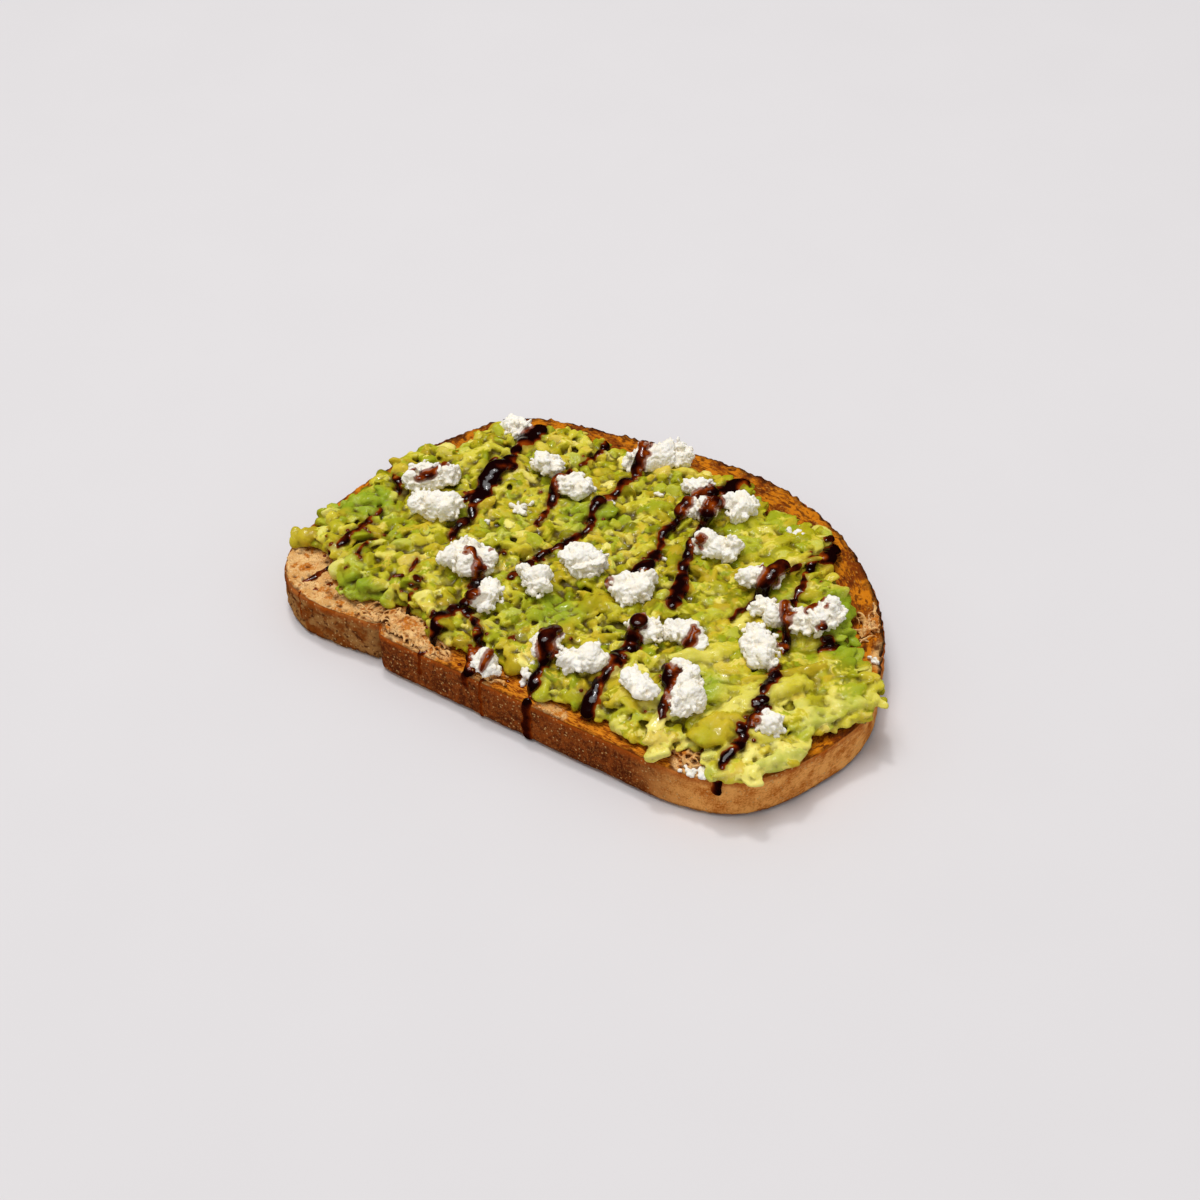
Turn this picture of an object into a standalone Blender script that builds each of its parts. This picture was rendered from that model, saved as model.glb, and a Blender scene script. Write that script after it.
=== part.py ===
"""Avocado toast: a wide slice of toasted bread, smashed avocado and crumbled white cheese.

+X runs along the slice, +Y towards the domed top of the loaf that it was cut from, +Z up.
The origin is the middle of the flat underside that the slice rests on.
"""

import math

import bmesh
import bpy
from mathutils import Vector, noise
from mathutils.geometry import interpolate_bezier

MM = 0.001

# Driving dimensions
SLICE_LENGTH = 170 * MM
SLICE_WIDTH = 114 * MM
SLICE_THICKNESS = 14.0 * MM
CRUST_ROUNDING = 1.8 * MM
MASH_HEIGHT = 5.6 * MM
MASH_EDGE_HEIGHT = 1.3 * MM
MASH_EDGE_WIDTH = 6 * MM
MASH_UNDERCUT = 0.9 * MM
MASH_LIFT = 0.3 * MM
CHEESE_GAP = 0.3 * MM
CHEESE_LIFT = 0.24      # a crumble's middle above the mash, as a share of its height

# How finely the solids are faceted
SLICE_SIDES = 92
MASH_SIDES = 84
MASH_RINGS = 16
CHEESE_SIDES = 11
CHEESE_RINGS = 7

# The slice's outline, as shares of half its length and half its width: a flat base, two
# rounded lower corners, a steep left shoulder and a long falling right one.
OUTLINE = (
    (-0.70, -1.00), (-0.18, -1.00), (0.36, -1.00), (0.68, -0.97), (0.87, -0.78), (1.00, -0.30),
    (0.95, 0.09), (0.79, 0.51), (0.50, 0.86), (0.13, 1.00), (-0.35, 0.90), (-0.70, 0.75),
    (-0.87, 0.38), (-0.98, -0.16), (-0.99, -0.70), (-0.90, -0.93),
)

# Where the loaf's base crust tore as it rose: a step in the base side, left of its middle.
TEAR_X = -42 * MM
TEAR_DEPTH = 3.2 * MM
TEAR_FADE = 20 * MM

# Bare bread left between the crust and the mash, by compass angle in degrees from +X.
# A negative width is a lobe of mash that hangs over the edge.
BARE_RIM = (
    (-178, 2.0), (-171, 6.0), (-163, 0.5), (-157, 3.0), (-151, 2.0), (-143, 10.5), (-135, 5.0),
    (-127, 8.0), (-117, 4.0), (-100, 6.0), (-88, 6.5), (-79, 2.0), (-68, 5.0), (-53, 1.0),
    (-44, 8.0), (-36, 3.5), (-29, 5.5), (-20, 3.5), (-12, 0.5), (-6, -3.0), (3, 5.0), (13, 9.5),
    (25, 8.5), (33, 11.0), (41, 3.0), (52, 8.0), (60, 13.0), (72, 8.5), (90, 10.5), (118, 11.5),
    (132, 6.5), (146, 11.5), (152, 4.0), (164, 8.0), (174, 1.0),
)

# Cheese crumbles: middle x and y, width across the view, depth along it, height, and turn in
# degrees, all lengths in millimetres.
CHEESE = (
    (-54, 31, 8.0, 6.5, 5.8, 20),
    (-62, -3, 16.0, 9.0, 7.0, 45),
    (-53, -14, 14.5, 8.5, 6.6, 30),
    (-35, 18, 9.0, 7.0, 6.0, 10),
    (-25, 15, 11.0, 7.5, 6.2, 25),
    (-11, 41, 20.0, 8.5, 7.6, 40),
    (5, 35, 8.0, 6.5, 5.8, 30),
    (11, 26, 10.5, 7.0, 5.8, 45),
    (21, 32, 8.5, 8.0, 6.2, 60),
    (23, 14, 14.0, 8.0, 6.8, 25),
    (-33, -27, 17.0, 12.0, 7.4, 15),
    (-19, -36, 7.0, 9.5, 6.0, 35),
    (-12, -24, 8.0, 10.5, 6.0, 55),
    (-4, -11, 10.5, 8.0, 6.8, 20),
    (12, -12, 13.5, 9.5, 6.8, 50),
    (23, -23, 8.5, 8.0, 6.4, 30),
    (33, -20, 10.0, 8.0, 6.2, 15),
    (44, -37, 9.5, 18.5, 7.2, 38),
    (34, -43, 7.0, 12.0, 6.0, 62),
    (4, -42, 7.5, 9.0, 6.2, 30),
    (15, -42, 13.5, 8.5, 6.6, 55),
    (-9, -52, 7.5, 9.0, 5.8, 20),
    (40, 10, 14.0, 7.5, 6.4, 40),
    (48, 1, 11.0, 6.5, 6.0, 5),
    (61, 4, 15.5, 9.5, 7.0, 50),
    (52, -13, 10.0, 13.5, 6.6, 20),
    (67, -35, 7.5, 5.5, 5.2, 32),
)


def clear_scene():
    for thing in list(bpy.data.objects):
        bpy.data.objects.remove(thing)


def material(name, colour, roughness):
    finish = bpy.data.materials.new(name)
    finish.use_nodes = True
    shader = finish.node_tree.nodes["Principled BSDF"]
    shader.inputs["Base Color"].default_value = (*colour, 1.0)
    shader.inputs["Roughness"].default_value = roughness
    finish.diffuse_color = (*colour, 1.0)
    return finish


def object_from(form, name, finish):
    """One named object from a bmesh, triangulated, facing out and shaded smooth."""
    bmesh.ops.triangulate(form, faces=form.faces[:])
    bmesh.ops.recalc_face_normals(form, faces=form.faces[:])
    mesh = bpy.data.meshes.new(name)
    form.to_mesh(mesh)
    form.free()
    mesh.shade_smooth()
    mesh.materials.append(finish)
    made = bpy.data.objects.new(name, mesh)
    bpy.context.collection.objects.link(made)
    return made


def closed_curve(corners, steps):
    """Points of a smooth closed curve through the corners, with tangents as in a Catmull-Rom spline."""
    count = len(corners)
    points = []
    for i in range(count):
        before, start, end, after = (corners[(i + k) % count] for k in (-1, 0, 1, 2))
        out = start + (end - before) / 6
        back = end - (after - start) / 6
        points += interpolate_bezier(start, out, back, end, steps + 1)[:-1]
    return points


def evenly(points, count):
    """The closed curve's points again, the same distance apart."""
    ends = points[1:] + points[:1]
    lengths = [(b - a).length for a, b in zip(points, ends)]
    step = sum(lengths) / count
    spaced, walked, i = [], 0.0, 0
    for k in range(count):
        while walked + lengths[i] < k * step:
            walked += lengths[i]
            i += 1
        share = (k * step - walked) / lengths[i]
        spaced.append(points[i].lerp(ends[i], share))
    return spaced


def tear(point):
    """How far the base side stands back at the tear, fading out towards the left corner."""
    if point.y > -0.3 * SLICE_WIDTH:
        return 0.0
    left = TEAR_X - point.x
    return TEAR_DEPTH * max(0.0, 1 - left / TEAR_FADE) if left > 0 else 0.0


def slice_outline(count):
    corners = [Vector((x * SLICE_LENGTH / 2, y * SLICE_WIDTH / 2, 0)) for x, y in OUTLINE]
    points = evenly(closed_curve(corners, 16), count)
    return [point + Vector((0, tear(point), 0)) for point in points]


def inset(points, distance):
    """The outline moved inwards, square to itself, by one distance or by one for each point."""
    count = len(points)
    distances = distance if isinstance(distance, list) else [distance] * count
    moved = []
    for i, point in enumerate(points):
        along = (points[(i + 1) % count] - points[i - 1]).normalized()
        moved.append(point + Vector((-along.y, along.x, 0)) * distances[i])
    return moved


def ring(form, points, heights):
    return [form.verts.new((p.x, p.y, z)) for p, z in zip(points, heights)]


def wall(form, lower, upper):
    count = len(lower)
    for i in range(count):
        k = (i + 1) % count
        form.faces.new((lower[i], lower[k], upper[k], upper[i]))


def bread_slice(finish):
    """The slice: its crust rounds over into a flat underside and a flat top."""
    form = bmesh.new()
    outline = slice_outline(SLICE_SIDES)
    turns = [math.radians(a) for a in (0, 30, 60, 90)]
    lower = [(CRUST_ROUNDING * (1 - math.sin(a)), CRUST_ROUNDING * (1 - math.cos(a))) for a in turns]
    upper = [(inward, SLICE_THICKNESS - height) for inward, height in reversed(lower)]
    rings = [ring(form, inset(outline, inward), [height] * SLICE_SIDES) for inward, height in lower + upper]
    for below, above in zip(rings, rings[1:]):
        wall(form, below, above)
    form.faces.new(rings[0][::-1])
    form.faces.new(rings[-1])
    return object_from(form, "bread_slice", finish)


def bare_rim(point):
    """The width of bare bread at a point of the outline, eased between the named angles."""
    angle = math.degrees(math.atan2(point.y, point.x))
    stops = [(BARE_RIM[-1][0] - 360, BARE_RIM[-1][1]), *BARE_RIM, (BARE_RIM[0][0] + 360, BARE_RIM[0][1])]
    for (start, before), (end, after) in zip(stops, stops[1:]):
        if start <= angle <= end:
            share = (1 - math.cos(math.pi * (angle - start) / (end - start))) / 2
            return (before + (after - before) * share) * MM
    return 0.0


def mash_outline(count):
    outline = slice_outline(count)
    return inset(outline, [bare_rim(point) for point in outline])


def lumps(x, y):
    """Rise and fall of the mash: heaps as wide as a spoon, then lumps of flesh on them."""
    heaps = noise.noise(Vector((x, y, 0)) / (26 * MM) + Vector((3.1, 0.4, 7.0)))
    pieces = noise.noise(Vector((x, y, 0)) / (9 * MM) + Vector((0, 5.2, 1.7)))
    return (1.3 * heaps + 1.5 * pieces) * MM


def mash_ridges(x, y):
    """Long low folds that the back of a spoon left towards the right end."""
    share = min(1.0, max(0.0, (x - 0.25 * SLICE_LENGTH) / (0.1 * SLICE_LENGTH)))
    return share * 0.9 * MM * math.sin(2 * math.pi * (y - 0.25 * x) / (16 * MM))


def avocado_mash(finish):
    """The smashed avocado: one ragged layer that rounds down to the bread at its edge."""
    form = bmesh.new()
    outline = mash_outline(MASH_SIDES)
    floor = SLICE_THICKNESS + MASH_LIFT
    foot = ring(form, inset(outline, MASH_UNDERCUT), [floor] * MASH_SIDES)
    rings = [foot]
    for k in range(MASH_RINGS):
        share = (k / MASH_RINGS) ** 0.85
        points = [point * (1 - share) for point in outline]
        heights = []
        for edge, point in zip(outline, points):
            from_edge = min(1.0, (edge - point).length / MASH_EDGE_WIDTH)
            rounding = math.sqrt(1 - (1 - from_edge) ** 2)
            rise = MASH_HEIGHT + lumps(point.x, point.y) + mash_ridges(point.x, point.y)
            heights.append(floor + MASH_EDGE_HEIGHT + rounding * (rise - MASH_EDGE_HEIGHT))
        rings.append(ring(form, points, heights))
    for below, above in zip(rings, rings[1:]):
        wall(form, below, above)
    top = form.verts.new((0, 0, floor + MASH_HEIGHT + lumps(0, 0)))
    inner = rings[-1]
    for i in range(MASH_SIDES):
        form.faces.new((inner[i], inner[(i + 1) % MASH_SIDES], top))
    form.faces.new(foot[::-1])
    return object_from(form, "avocado_mash", finish)


def highest_under(mash, x, y):
    """The mash's surface at a place, in metres, or the bread's where there is no mash."""
    hit, place, _, _ = mash.ray_cast(Vector((x, y, 1)), Vector((0, 0, -1)))
    return place.z if hit else SLICE_THICKNESS


def crumble(form, index, width, depth, height):
    """A rough lump of cheese round the middle of form: a squared ball, knobbly all over."""
    bmesh.ops.create_uvsphere(form, u_segments=CHEESE_SIDES, v_segments=CHEESE_RINGS, radius=1.0)
    for vert in form.verts:
        away = vert.co.normalized()
        squared = 1 / max(abs(away.x), abs(away.y), abs(away.z)) ** 0.45
        knobs = 1 + 0.35 * noise.noise(away * 1.9 + Vector((index * 7.3, 0, 0)))
        reach = away * squared * knobs
        vert.co = Vector((reach.x * width / 2, reach.y * depth / 2, reach.z * height / 2))


def swollen(node):
    """A hidden guide for cutting: the node with its skin moved out by the gap."""
    guide = node.copy()
    guide.data = node.data.copy()
    guide.name = f"swollen_{node.name}"
    for vert, skin in zip(guide.data.vertices, node.data.vertices):
        vert.co = skin.co + skin.normal * CHEESE_GAP
    guide.hide_render = True
    guide.display_type = "WIRE"
    bpy.context.collection.objects.link(guide)
    return guide


def cheese_crumble(index, entry, mash, guides, finish):
    """One crumble of cheese, sunk a little into the mash, its underside cut to lie on it."""
    x, y, width, depth, height = (value * MM for value in entry[:5])
    form = bmesh.new()
    crumble(form, index, width, depth, height)
    made = object_from(form, f"cheese_crumble_{index + 1:02d}", finish)
    made.rotation_euler.z = math.radians(entry[5])
    made.location = (x, y, highest_under(mash, x, y) + CHEESE_LIFT * height)
    for guide in guides:
        cut = made.modifiers.new(f"rests_on_{guide.name}", "BOOLEAN")
        cut.operation = "DIFFERENCE"
        cut.object = guide
    return made


def build():
    clear_scene()
    toast = material("toasted_bread", (0.50, 0.24, 0.08), 0.75)
    avocado = material("smashed_avocado", (0.50, 0.55, 0.12), 0.40)
    cheese = material("white_cheese", (0.90, 0.88, 0.80), 0.60)
    bread = bread_slice(toast)
    mash = avocado_mash(avocado)
    bpy.context.view_layer.update()
    guides = [swollen(mash), swollen(bread)]
    for index, entry in enumerate(CHEESE):
        cheese_crumble(index, entry, mash, guides, cheese)


build()
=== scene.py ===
# %% [markdown]
# # Avocado toast
#
# Four things lie on each other here, and each breaks in its own way: bread tears into fibres and
# pores, avocado breaks into soft wet chunks, cheese crumbles into grains, and the glaze runs over
# all of it. Each gets its own way of making its shape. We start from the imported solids, which
# say where every piece lies and how large it is.

# %% Load the frame
import math

import bmesh
import bpy
import numpy as np
from mathutils import Matrix, Vector, noise
from mathutils.bvhtree import BVHTree
from mathutils.kdtree import KDTree


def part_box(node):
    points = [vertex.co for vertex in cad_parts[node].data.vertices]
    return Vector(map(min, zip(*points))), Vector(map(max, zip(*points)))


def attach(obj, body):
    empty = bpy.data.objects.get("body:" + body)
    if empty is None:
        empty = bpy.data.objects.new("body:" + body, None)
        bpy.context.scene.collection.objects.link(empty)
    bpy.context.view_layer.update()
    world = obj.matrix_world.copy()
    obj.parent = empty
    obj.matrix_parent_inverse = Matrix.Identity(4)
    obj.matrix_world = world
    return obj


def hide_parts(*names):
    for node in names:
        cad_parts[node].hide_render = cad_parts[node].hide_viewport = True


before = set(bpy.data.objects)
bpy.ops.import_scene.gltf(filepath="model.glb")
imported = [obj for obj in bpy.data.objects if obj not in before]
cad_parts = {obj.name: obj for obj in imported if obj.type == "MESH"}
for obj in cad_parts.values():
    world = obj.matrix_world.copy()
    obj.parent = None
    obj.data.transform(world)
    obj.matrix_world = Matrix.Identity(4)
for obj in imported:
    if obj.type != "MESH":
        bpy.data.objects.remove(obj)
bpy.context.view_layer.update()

MM = 0.001
print("CAD pieces:", len(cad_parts))

# %% [markdown]
# ## The studio
#
# A pale floor, a camera that looks down at 44 degrees from the front right, and soft light from
# above, as under a large diffuser. A long lens keeps the slice's two ends nearly the same size.

# %% Camera
CAMERA_PLACE = Vector((225.8, -367.3, 419.7)) * MM
CAMERA_AIM = Vector((-3.9, -3.2, 2.2)) * MM

camera = bpy.data.objects.new("camera", bpy.data.cameras.new("camera"))
camera.data.lens = 63
camera.data.sensor_width = 36
camera.data.clip_start = 0.01
camera.location = CAMERA_PLACE
camera.rotation_euler = (CAMERA_AIM - CAMERA_PLACE).to_track_quat("-Z", "Y").to_euler()
bpy.context.collection.objects.link(camera)
bpy.context.scene.camera = camera
print("camera distance in mm:", round((CAMERA_AIM - CAMERA_PLACE).length / MM))

# %% [markdown]
# The main light is a sun with a wide disc: its shadows are soft, and unlike a lamp close by it
# leaves the floor evenly bright. A pale world fills the shadows, and one small box gives glints.
# The world is left out of reflections, where it would lay a grey haze over everything wet.

# %% Light
scene = bpy.context.scene
scene.view_settings.view_transform = "Standard"

world = bpy.data.worlds.new("soft room")
world.use_nodes = True
world.node_tree.nodes["Background"].inputs["Color"].default_value = (1.0, 0.985, 0.98, 1)
world.node_tree.nodes["Background"].inputs["Strength"].default_value = 0.43
scene.world = world
world.cycles_visibility.glossy = False


def aimed(name, light, place):
    """Puts a light at a place in metres, facing the toast."""
    lamp = bpy.data.objects.new(name, light)
    lamp.location = place
    lamp.rotation_euler = Vector(place).to_track_quat("Z", "Y").to_euler()
    bpy.context.collection.objects.link(lamp)


diffuser = bpy.data.lights.new("diffuser", "SUN")
diffuser.angle = math.radians(34)
diffuser.energy = 1.6
aimed("diffuser", diffuser, (-0.18, -0.04, 1.0))

glint_box = bpy.data.lights.new("glint_box", "AREA")
glint_box.size = 0.10
glint_box.energy = 2.0
aimed("glint_box", glint_box, (-0.20, 0.12, 1.05))

# %% [markdown]
# ## Tools for shapes
#
# Food is easiest to think about in millimetres, so every length below is in millimetres and is
# turned into metres as a mesh is made. Points travel as arrays, because arithmetic on a whole
# array is much quicker than a loop over a hundred thousand vertices.

# %% Making a mesh
def mesh_object(name, points, faces):
    """An object from points in millimetres and an array of triangles or quads."""
    mesh = bpy.data.meshes.new(name)
    mesh.vertices.add(len(points))
    mesh.vertices.foreach_set("co", (points * MM).astype(np.float32).ravel())
    mesh.loops.add(faces.size)
    mesh.loops.foreach_set("vertex_index", faces.astype(np.int32).ravel())
    mesh.polygons.add(len(faces))
    mesh.polygons.foreach_set("loop_start", np.arange(0, faces.size, faces.shape[1], dtype=np.int32))
    mesh.update(calc_edges=True)
    mesh.shade_smooth()
    made = bpy.data.objects.new(name, mesh)
    bpy.context.collection.objects.link(made)
    return made


def points_of(mesh):
    """The mesh's points in millimetres."""
    flat = np.empty(len(mesh.vertices) * 3, np.float32)
    mesh.vertices.foreach_get("co", flat)
    return flat.reshape(-1, 3).astype(float) / MM


def normals_of(mesh):
    """The direction that the surface faces at each point."""
    flat = np.empty(len(mesh.vertices) * 3, np.float32)
    mesh.vertices.foreach_get("normal", flat)
    return flat.reshape(-1, 3).astype(float)


def triangles_of(mesh):
    """The mesh's faces as triangles, three point numbers each."""
    mesh.calc_loop_triangles()
    flat = np.empty(len(mesh.loop_triangles) * 3, np.int32)
    mesh.loop_triangles.foreach_get("vertices", flat)
    return flat.reshape(-1, 3)


def move_points(mesh, points):
    """Puts the mesh's points at these places in millimetres."""
    mesh.vertices.foreach_set("co", (points * MM).astype(np.float32).ravel())
    mesh.update()


def mark(mesh, name, values):
    """Stores one number for each point, which the materials read by name."""
    layer = mesh.attributes.new(name, "FLOAT", "POINT")
    layer.data.foreach_set("value", np.asarray(values, np.float32))


def rough(points, size, seed):
    """Smooth noise from about -1 to 1 at each point, with features of about that size."""
    places = (points / size + np.array((seed * 7.31, seed * 3.17, seed * -5.23))).tolist()
    return np.array([noise.noise(place) for place in places])


def eased(values, low, high):
    """0 below low, 1 above high, and a smooth rise between them."""
    share = np.clip((values - low) / (high - low), 0, 1)
    return share * share * (3 - 2 * share)


# %% [markdown]
# Many soft things here are heaps of small closed lumps that have run together. A voxel remesh does
# that: it lays one new skin round all the lumps that touch, as shrink wrap would. It forgets
# everything else about them, so tints are looked up again afterwards from the nearest lumps.
# Where two lumps barely meet it can leave a loose speck, and those are deleted.

# %% Fusing lumps into one skin
def applied(made):
    """Bakes an object's modifiers into its mesh."""
    graph = bpy.context.evaluated_depsgraph_get()
    mesh = bpy.data.meshes.new_from_object(made.evaluated_get(graph))
    made.modifiers.clear()
    made.data = mesh
    mesh.shade_smooth()
    return made


def without_specks(piece, least=60):
    """Deletes loose bits that have fewer points than that."""
    form = bmesh.new()
    form.from_mesh(piece.data)
    seen, specks = set(), []
    for first in form.verts:
        if first in seen:
            continue
        seen.add(first)
        island = [first]
        for point in island:
            for edge in point.link_edges:
                other = edge.other_vert(point)
                if other not in seen:
                    seen.add(other)
                    island.append(other)
        if len(island) < least:
            specks += island
    bmesh.ops.delete(form, geom=specks, context="VERTS")
    form.to_mesh(piece.data)
    form.free()


def fused(name, points, faces, voxel, softening, most=190000):
    """One skin round overlapping closed lumps, softened, with at most that many triangles."""
    made = mesh_object(name, points, faces)
    skin = made.modifiers.new("skin", "REMESH")
    skin.mode = "VOXEL"
    skin.voxel_size = voxel * MM
    if softening:
        soft = made.modifiers.new("soft", "SMOOTH")
        soft.factor = 0.5
        soft.iterations = softening
    applied(made)
    triangles = sum(len(face.vertices) - 2 for face in made.data.polygons)
    if triangles > most:
        fewer = made.modifiers.new("fewer", "DECIMATE")
        fewer.ratio = most / triangles
        applied(made)
    without_specks(made)
    print(f"{name}: {triangles} triangles, kept {min(triangles, most)}")
    return made


def hollows(mesh, passes):
    """How far each point lies below its smoothed surroundings, in millimetres."""
    points = points_of(mesh)
    ends = np.empty(len(mesh.edges) * 2, np.int32)
    mesh.edges.foreach_get("vertices", ends)
    start, end = ends.reshape(-1, 2).T
    count = len(points)
    near = np.maximum(np.bincount(start, minlength=count) + np.bincount(end, minlength=count), 1)
    smooth = points.copy()
    for _ in range(passes):
        for axis in range(3):
            value = smooth[:, axis]
            total = np.bincount(start, value[end], count) + np.bincount(end, value[start], count)
            smooth[:, axis] = total / near
    return ((smooth - points) * normals_of(mesh)).sum(1)


# %% [markdown]
# ### Chunks
#
# A broken bit of avocado or cheese has flat faces where it split and rounded edges between them.
# Cutting a ball with a dozen random planes gives that. Instead of real cuts, each direction from
# the middle gets a distance: the nearest plane's, blended softly with the next ones. That is one
# line of array arithmetic for a whole chunk, so thousands of them take a second.

# %% Chunks
def ball(steps):
    """Points and triangles of a ball of radius 1, finer with each step."""
    form = bmesh.new()
    bmesh.ops.create_icosphere(form, subdivisions=steps, radius=1.0)
    points = np.array([vert.co for vert in form.verts])
    faces = np.array([[vert.index for vert in face.verts] for face in form.faces])
    form.free()
    return points, faces


BALLS = {steps: ball(steps) for steps in (2, 3, 4)}


def chunk(draw, steps, planes=11, nearest=0.6, sharp=9):
    """Points of a ball of radius 1 that random planes have cut flat."""
    points = BALLS[steps][0]
    facing = draw.normal(size=(planes, 3))
    facing /= np.linalg.norm(facing, axis=1)[:, None]
    away = draw.uniform(nearest, 1.0, planes)
    pull = (np.maximum(points @ facing.T, 0) / away) ** sharp
    return points / ((pull.sum(1) + 1.2 ** -sharp) ** (1 / sharp))[:, None]


# %% [markdown]
# A heap gathers turned and moved lumps before they are fused, and remembers each one's tint.

# %% Turning lumps and gathering them
def turned(points, turn, tilt=0.0, roll=0.0):
    """The points turned about X by roll, then about Y by tilt, then about Z by turn, in degrees."""
    matrix = Matrix.Rotation(math.radians(turn), 3, "Z")
    matrix = matrix @ Matrix.Rotation(math.radians(tilt), 3, "Y")
    matrix = matrix @ Matrix.Rotation(math.radians(roll), 3, "X")
    return points @ np.array(matrix).T


class Heap:
    """Lumps that are gathered before they are fused, each with a tint."""

    def __init__(self):
        self.points = []
        self.faces = []
        self.tints = []
        self.count = 0

    def add(self, points, faces, tint=0.5):
        self.points.append(points)
        self.faces.append(faces + self.count)
        self.tints.append(np.full(len(points), tint))
        self.count += len(points)

    def joined(self):
        return np.concatenate(self.points), np.concatenate(self.faces)

    def tints_at(self, places):
        """The tint of the lump nearest to each place."""
        points, tints = np.concatenate(self.points), np.concatenate(self.tints)
        tree = KDTree(len(points))
        for index, point in enumerate(points.tolist()):
            tree.insert(point, index)
        tree.balance()
        return tints[[tree.find(place)[1] for place in places.tolist()]]


# %% [markdown]
# Toppings are dropped on to what lies below them. A search tree of the solids answers quickly how
# high they are at a place, and says where there is nothing to land on.

# %% Looking down on the solids
def looking_down(*names):
    """A search tree of CAD nodes, for dropping things on to them."""
    points, faces, first = [], [], 0
    for name in names:
        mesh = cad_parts[name].data
        points += [vert.co / MM for vert in mesh.vertices]
        faces += [[first + k for k in face.vertices] for face in mesh.polygons]
        first = len(points)
    return BVHTree.FromPolygons(points, faces)


def height_at(tree, x, y, missing=None):
    """How high the top of the tree's solids is at a place, or missing where there is nothing."""
    hit = tree.ray_cast(Vector((x, y, 100)), Vector((0, 0, -1)))[0]
    return missing if hit is None else hit.z


# %% [markdown]
# ## Tools for materials
#
# A material is a sum: some colour here, more of it where the surface is high, less where it is
# scorched. Sums read best as sums, so one small class stands for a socket and lets Python's
# operators add the Math nodes. Everything else a material needs is one call of node().

# %% A socket that can be added and multiplied
class Shade:
    """An output of a material's nodes. Arithmetic on it adds Math nodes."""

    def __init__(self, tree, socket=None):
        self.tree = tree
        self.socket = socket

    def node(self, kind, settings, sockets, output=0):
        """Adds a node: its settings first, then a value or a link for each socket named."""
        made = self.tree.nodes.new(kind)
        for name, value in settings.items():
            if name == "stops":
                self.fill_ramp(made.color_ramp, value)
            else:
                setattr(made, name, value)
        for name, value in sockets.items():
            if isinstance(value, Shade):
                self.tree.links.new(value.socket, made.inputs[name])
            else:
                made.inputs[name].default_value = value
        return Shade(self.tree, made.outputs[output])

    def fill_ramp(self, ramp, stops):
        while len(ramp.elements) < len(stops):
            ramp.elements.new(0.5)
        for element, (place, colour) in zip(ramp.elements, stops):
            element.position = place
            element.color = (*colour, 1)

    def math(self, operation, *values):
        return self.node("ShaderNodeMath", {"operation": operation}, dict(enumerate(values)))

    def __add__(self, other):
        return self.math("ADD", self, other)

    def __sub__(self, other):
        return self.math("SUBTRACT", self, other)

    def __rsub__(self, other):
        return self.math("SUBTRACT", other, self)

    def __mul__(self, other):
        return self.math("MULTIPLY", self, other)

    __radd__ = __add__
    __rmul__ = __mul__

    def rise(self, low, high):
        """0 where this is below low, 1 where it is above high, and smooth between."""
        limits = {"Value": self, "From Min": low, "From Max": high}
        return self.node("ShaderNodeMapRange", {"interpolation_type": "SMOOTHSTEP"}, limits)

    def ramp(self, *stops):
        """A colour for each value, eased between the (place, colour) stops."""
        return self.node("ShaderNodeValToRGB", {"stops": stops}, {"Fac": self})


# %% [markdown]
# Every finish here is made of the same few things: noise, cells, numbers marked on the mesh, and
# mixes of two colours. They are worth a name each. The noise is read in the object's own
# millimetres, so that a size in a finish is a size on the food.

# %% A finish, with its coordinates in millimetres
class Finish(Shade):
    """A material's nodes, with helpers for what every finish here uses."""

    def __init__(self, name):
        self.material = bpy.data.materials.new(name)
        self.material.use_nodes = True
        super().__init__(self.material.node_tree)
        self.shader = self.tree.nodes["Principled BSDF"]
        place = self.node("ShaderNodeTexCoord", {}, {}, "Object")
        self.place = self.node("ShaderNodeVectorMath", {"operation": "SCALE"}, {0: place, "Scale": 1 / MM})

    def grain(self, size, detail=2.0, roughness=0.5, place=None):
        """Noise from 0 to 1 with features of about that many millimetres."""
        sockets = {"Vector": place or self.place, "Scale": 1 / size}
        sockets |= {"Detail": detail, "Roughness": roughness}
        return self.node("ShaderNodeTexNoise", {}, sockets)

    def cells(self, size):
        """How far a place is from the middle of its cell, as a share of the size."""
        sockets = {"Vector": self.place, "Scale": 1 / size}
        return self.node("ShaderNodeTexVoronoi", {"feature": "F1"}, sockets, "Distance")

    def stretched(self, x, y, z):
        """Coordinates along which patterns are drawn out by these factors."""
        sockets = {0: self.place, 1: (1 / x, 1 / y, 1 / z)}
        return self.node("ShaderNodeVectorMath", {"operation": "MULTIPLY"}, sockets)

    def marked(self, name):
        """The number that mark() stored under that name."""
        return self.node("ShaderNodeAttribute", {"attribute_name": name}, {}, "Fac")

    def mix(self, first, second, share):
        """The first colour where share is 0 and the second where it is 1."""
        sockets = {0: share}
        for index, colour in ((6, first), (7, second)):
            sockets[index] = colour if isinstance(colour, Shade) else (*colour, 1)
        return self.node("ShaderNodeMix", {"data_type": "RGBA"}, sockets, 2)

    def bump(self, height, millimetres):
        """A surface that looks that many millimetres higher where the height is 1."""
        sockets = {"Height": height, "Distance": millimetres * MM, "Strength": 1.0}
        return self.node("ShaderNodeBump", {}, sockets)

    def set(self, **values):
        """Sets the shader's sockets, named with underscores for spaces."""
        for name, value in values.items():
            socket = self.shader.inputs[name.replace("_", " ")]
            if isinstance(value, Shade):
                self.tree.links.new(value.socket, socket)
            else:
                socket.default_value = value


def dressed(piece, finish, slot, *nodes):
    """Gives a piece its material and body, and hides the CAD nodes it stands for. The slot is not used."""
    piece.data.materials.clear()
    piece.data.materials.append(finish.material)
    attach(piece, "root")
    if nodes:
        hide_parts(*nodes)


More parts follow.
